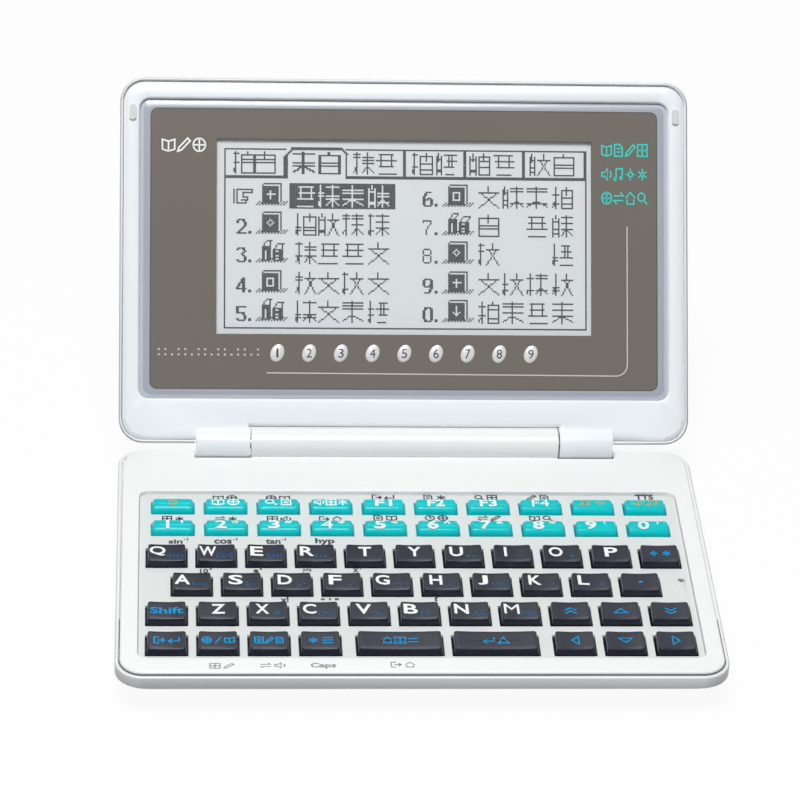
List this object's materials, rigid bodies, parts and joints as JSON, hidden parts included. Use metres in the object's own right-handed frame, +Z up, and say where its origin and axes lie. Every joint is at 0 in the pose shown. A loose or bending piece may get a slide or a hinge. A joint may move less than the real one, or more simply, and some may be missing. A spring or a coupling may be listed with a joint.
{
  "type": "electronic dictionary",
  "caption": "Clamshell pocket dictionary: a friction-hinged lid with a wide screen closes over a base with a sprung letter keyboard.",
  "frame": {"origin": "middle of the flat underside of the base", "axes": "+Z up out of the keyboard, +X to the user's right, +Y away from the user towards the hinge"},
  "size_m": [0.13, 0.136, 0.0794],
  "materials": {
    "case_plastic": "moulded ABS, light grey",
    "deck_plastic": "moulded ABS, white",
    "panel_plastic": "printed polycarbonate plate",
    "mat_rubber": "silicone key mat",
    "board_laminate": "glass fibre circuit board",
    "chip_resin": "moulded epoxy",
    "cell_steel": "stainless cell can",
    "contact_steel": "sprung strip",
    "foot_rubber": "rubber foot",
    "speaker_frame": "speaker frame and magnet",
    "clutch_steel": "sintered sleeve",
    "pin_steel": "hinge pin",
    "lid_cover_plastic": "moulded ABS, light grey",
    "lid_face_plastic": "moulded ABS, pale blue white",
    "lens_acrylic": "clear acrylic screen cover",
    "lcd_glass": "liquid crystal panel",
    "guide_acrylic": "light guide",
    "flex_film": "polyimide ribbon",
    "bumper_rubber": "lid bumper",
    "letter_key_plastic": "moulded ABS, navy",
    "small_key_plastic": "moulded ABS, turquoise"
  },
  "bodies": {
    "base": {"base_lower_case": "case_plastic", "base_upper_case": "deck_plastic", "keypad_plate": "panel_plastic", "key_mat": "mat_rubber", "main_board": "board_laminate", "board_chips": "chip_resin", "coin_cells": "cell_steel", "cell_contacts": "contact_steel", "rubber_feet": "foot_rubber", "speaker": "speaker_frame", "hinge_clutches": "clutch_steel"},
    "lid": {"lid_back_cover": "lid_cover_plastic", "lid_front_frame": "lid_face_plastic", "screen_lens": "lens_acrylic", "lcd_panel": "lcd_glass", "backlight_guide": "guide_acrylic", "lcd_board": "board_laminate", "display_flex": "flex_film", "lid_bumpers": "bumper_rubber", "hinge_pins": "pin_steel"},
    "key_q": {"key_q": "letter_key_plastic"},
    "key_w": {"key_w": "letter_key_plastic"},
    "key_e": {"key_e": "letter_key_plastic"},
    "key_r": {"key_r": "letter_key_plastic"},
    "key_t": {"key_t": "letter_key_plastic"},
    "key_y": {"key_y": "letter_key_plastic"},
    "key_u": {"key_u": "letter_key_plastic"},
    "key_i": {"key_i": "letter_key_plastic"},
    "key_o": {"key_o": "letter_key_plastic"},
    "key_p": {"key_p": "letter_key_plastic"},
    "key_a": {"key_a": "letter_key_plastic"},
    "key_s": {"key_s": "letter_key_plastic"},
    "key_d": {"key_d": "letter_key_plastic"},
    "key_f": {"key_f": "letter_key_plastic"},
    "key_g": {"key_g": "letter_key_plastic"},
    "key_h": {"key_h": "letter_key_plastic"},
    "key_j": {"key_j": "letter_key_plastic"},
    "key_k": {"key_k": "letter_key_plastic"},
    "key_l": {"key_l": "letter_key_plastic"},
    "key_z": {"key_z": "letter_key_plastic"},
    "key_x": {"key_x": "letter_key_plastic"},
    "key_c": {"key_c": "letter_key_plastic"},
    "key_v": {"key_v": "letter_key_plastic"},
    "key_b": {"key_b": "letter_key_plastic"},
    "key_n": {"key_n": "letter_key_plastic"},
    "key_m": {"key_m": "letter_key_plastic"},
    "key_shift": {"key_shift": "letter_key_plastic"},
    "key_space": {"key_space": "letter_key_plastic"},
    "key_enter": {"key_enter": "letter_key_plastic"},
    "key_backlight": {"key_backlight": "letter_key_plastic"},
    "arrow_keys": {"arrow_keys": "letter_key_plastic"},
    "page_keys": {"page_keys": "letter_key_plastic"},
    "command_keys": {"command_keys": "letter_key_plastic"},
    "key_power": {"key_power": "small_key_plastic"},
    "function_keys": {"function_keys": "small_key_plastic"},
    "digit_keys": {"digit_keys": "small_key_plastic"},
    "battery_door": {"battery_door": "case_plastic"},
    "reset_button": {"reset_button": "panel_plastic"}
  },
  "joints": [
    {"name": "lid_hinge", "type": "hinge", "parent": "base", "child": "lid", "pos_m": [0, 0.0412, 0.0118], "axis": [1, 0, 0], "range_deg": [-18, 126.87]},
    {"name": "battery_door_slide", "type": "slide", "parent": "base", "child": "battery_door", "axis": [0, 1, 0], "range_m": [0, 0.006]},
    {"name": "reset_press", "type": "slide", "parent": "base", "child": "reset_button", "axis": [0, 0, -1], "range_m": [0, 0.0004], "stiffness_N_per_m": 700, "springref_m": -0.0003},
    {"name": "key_q_press", "type": "slide", "parent": "base", "child": "key_q", "axis": [0, 0, -1], "range_m": [0, 0.0007], "stiffness_N_per_m": 700, "springref_m": -0.0003},
    {"name": "key_w_press", "type": "slide", "parent": "base", "child": "key_w", "axis": [0, 0, -1], "range_m": [0, 0.0007], "stiffness_N_per_m": 700, "springref_m": -0.0003},
    {"name": "key_e_press", "type": "slide", "parent": "base", "child": "key_e", "axis": [0, 0, -1], "range_m": [0, 0.0007], "stiffness_N_per_m": 700, "springref_m": -0.0003},
    {"name": "key_r_press", "type": "slide", "parent": "base", "child": "key_r", "axis": [0, 0, -1], "range_m": [0, 0.0007], "stiffness_N_per_m": 700, "springref_m": -0.0003},
    {"name": "key_t_press", "type": "slide", "parent": "base", "child": "key_t", "axis": [0, 0, -1], "range_m": [0, 0.0007], "stiffness_N_per_m": 700, "springref_m": -0.0003},
    {"name": "key_y_press", "type": "slide", "parent": "base", "child": "key_y", "axis": [0, 0, -1], "range_m": [0, 0.0007], "stiffness_N_per_m": 700, "springref_m": -0.0003},
    {"name": "key_u_press", "type": "slide", "parent": "base", "child": "key_u", "axis": [0, 0, -1], "range_m": [0, 0.0007], "stiffness_N_per_m": 700, "springref_m": -0.0003},
    {"name": "key_i_press", "type": "slide", "parent": "base", "child": "key_i", "axis": [0, 0, -1], "range_m": [0, 0.0007], "stiffness_N_per_m": 700, "springref_m": -0.0003},
    {"name": "key_o_press", "type": "slide", "parent": "base", "child": "key_o", "axis": [0, 0, -1], "range_m": [0, 0.0007], "stiffness_N_per_m": 700, "springref_m": -0.0003},
    {"name": "key_p_press", "type": "slide", "parent": "base", "child": "key_p", "axis": [0, 0, -1], "range_m": [0, 0.0007], "stiffness_N_per_m": 700, "springref_m": -0.0003},
    {"name": "key_a_press", "type": "slide", "parent": "base", "child": "key_a", "axis": [0, 0, -1], "range_m": [0, 0.0007], "stiffness_N_per_m": 700, "springref_m": -0.0003},
    {"name": "key_s_press", "type": "slide", "parent": "base", "child": "key_s", "axis": [0, 0, -1], "range_m": [0, 0.0007], "stiffness_N_per_m": 700, "springref_m": -0.0003},
    {"name": "key_d_press", "type": "slide", "parent": "base", "child": "key_d", "axis": [0, 0, -1], "range_m": [0, 0.0007], "stiffness_N_per_m": 700, "springref_m": -0.0003},
    {"name": "key_f_press", "type": "slide", "parent": "base", "child": "key_f", "axis": [0, 0, -1], "range_m": [0, 0.0007], "stiffness_N_per_m": 700, "springref_m": -0.0003},
    {"name": "key_g_press", "type": "slide", "parent": "base", "child": "key_g", "axis": [0, 0, -1], "range_m": [0, 0.0007], "stiffness_N_per_m": 700, "springref_m": -0.0003},
    {"name": "key_h_press", "type": "slide", "parent": "base", "child": "key_h", "axis": [0, 0, -1], "range_m": [0, 0.0007], "stiffness_N_per_m": 700, "springref_m": -0.0003},
    {"name": "key_j_press", "type": "slide", "parent": "base", "child": "key_j", "axis": [0, 0, -1], "range_m": [0, 0.0007], "stiffness_N_per_m": 700, "springref_m": -0.0003},
    {"name": "key_k_press", "type": "slide", "parent": "base", "child": "key_k", "axis": [0, 0, -1], "range_m": [0, 0.0007], "stiffness_N_per_m": 700, "springref_m": -0.0003},
    {"name": "key_l_press", "type": "slide", "parent": "base", "child": "key_l", "axis": [0, 0, -1], "range_m": [0, 0.0007], "stiffness_N_per_m": 700, "springref_m": -0.0003},
    {"name": "key_z_press", "type": "slide", "parent": "base", "child": "key_z", "axis": [0, 0, -1], "range_m": [0, 0.0007], "stiffness_N_per_m": 700, "springref_m": -0.0003},
    {"name": "key_x_press", "type": "slide", "parent": "base", "child": "key_x", "axis": [0, 0, -1], "range_m": [0, 0.0007], "stiffness_N_per_m": 700, "springref_m": -0.0003},
    {"name": "key_c_press", "type": "slide", "parent": "base", "child": "key_c", "axis": [0, 0, -1], "range_m": [0, 0.0007], "stiffness_N_per_m": 700, "springref_m": -0.0003},
    {"name": "key_v_press", "type": "slide", "parent": "base", "child": "key_v", "axis": [0, 0, -1], "range_m": [0, 0.0007], "stiffness_N_per_m": 700, "springref_m": -0.0003},
    {"name": "key_b_press", "type": "slide", "parent": "base", "child": "key_b", "axis": [0, 0, -1], "range_m": [0, 0.0007], "stiffness_N_per_m": 700, "springref_m": -0.0003},
    {"name": "key_n_press", "type": "slide", "parent": "base", "child": "key_n", "axis": [0, 0, -1], "range_m": [0, 0.0007], "stiffness_N_per_m": 700, "springref_m": -0.0003},
    {"name": "key_m_press", "type": "slide", "parent": "base", "child": "key_m", "axis": [0, 0, -1], "range_m": [0, 0.0007], "stiffness_N_per_m": 700, "springref_m": -0.0003},
    {"name": "key_shift_press", "type": "slide", "parent": "base", "child": "key_shift", "axis": [0, 0, -1], "range_m": [0, 0.0007], "stiffness_N_per_m": 700, "springref_m": -0.0003},
    {"name": "key_space_press", "type": "slide", "parent": "base", "child": "key_space", "axis": [0, 0, -1], "range_m": [0, 0.0007], "stiffness_N_per_m": 700, "springref_m": -0.0003},
    {"name": "key_enter_press", "type": "slide", "parent": "base", "child": "key_enter", "axis": [0, 0, -1], "range_m": [0, 0.0007], "stiffness_N_per_m": 700, "springref_m": -0.0003},
    {"name": "key_backlight_press", "type": "slide", "parent": "base", "child": "key_backlight", "axis": [0, 0, -1], "range_m": [0, 0.0007], "stiffness_N_per_m": 700, "springref_m": -0.0003},
    {"name": "arrow_keys_press", "type": "slide", "parent": "base", "child": "arrow_keys", "axis": [0, 0, -1], "range_m": [0, 0.0007], "stiffness_N_per_m": 700, "springref_m": -0.0003},
    {"name": "page_keys_press", "type": "slide", "parent": "base", "child": "page_keys", "axis": [0, 0, -1], "range_m": [0, 0.0007], "stiffness_N_per_m": 700, "springref_m": -0.0003},
    {"name": "command_keys_press", "type": "slide", "parent": "base", "child": "command_keys", "axis": [0, 0, -1], "range_m": [0, 0.0007], "stiffness_N_per_m": 700, "springref_m": -0.0003},
    {"name": "key_power_press", "type": "slide", "parent": "base", "child": "key_power", "axis": [0, 0, -1], "range_m": [0, 0.0007], "stiffness_N_per_m": 700, "springref_m": -0.0003},
    {"name": "function_keys_press", "type": "slide", "parent": "base", "child": "function_keys", "axis": [0, 0, -1], "range_m": [0, 0.0007], "stiffness_N_per_m": 700, "springref_m": -0.0003},
    {"name": "digit_keys_press", "type": "slide", "parent": "base", "child": "digit_keys", "axis": [0, 0, -1], "range_m": [0, 0.0007], "stiffness_N_per_m": 700, "springref_m": -0.0003}
  ]
}
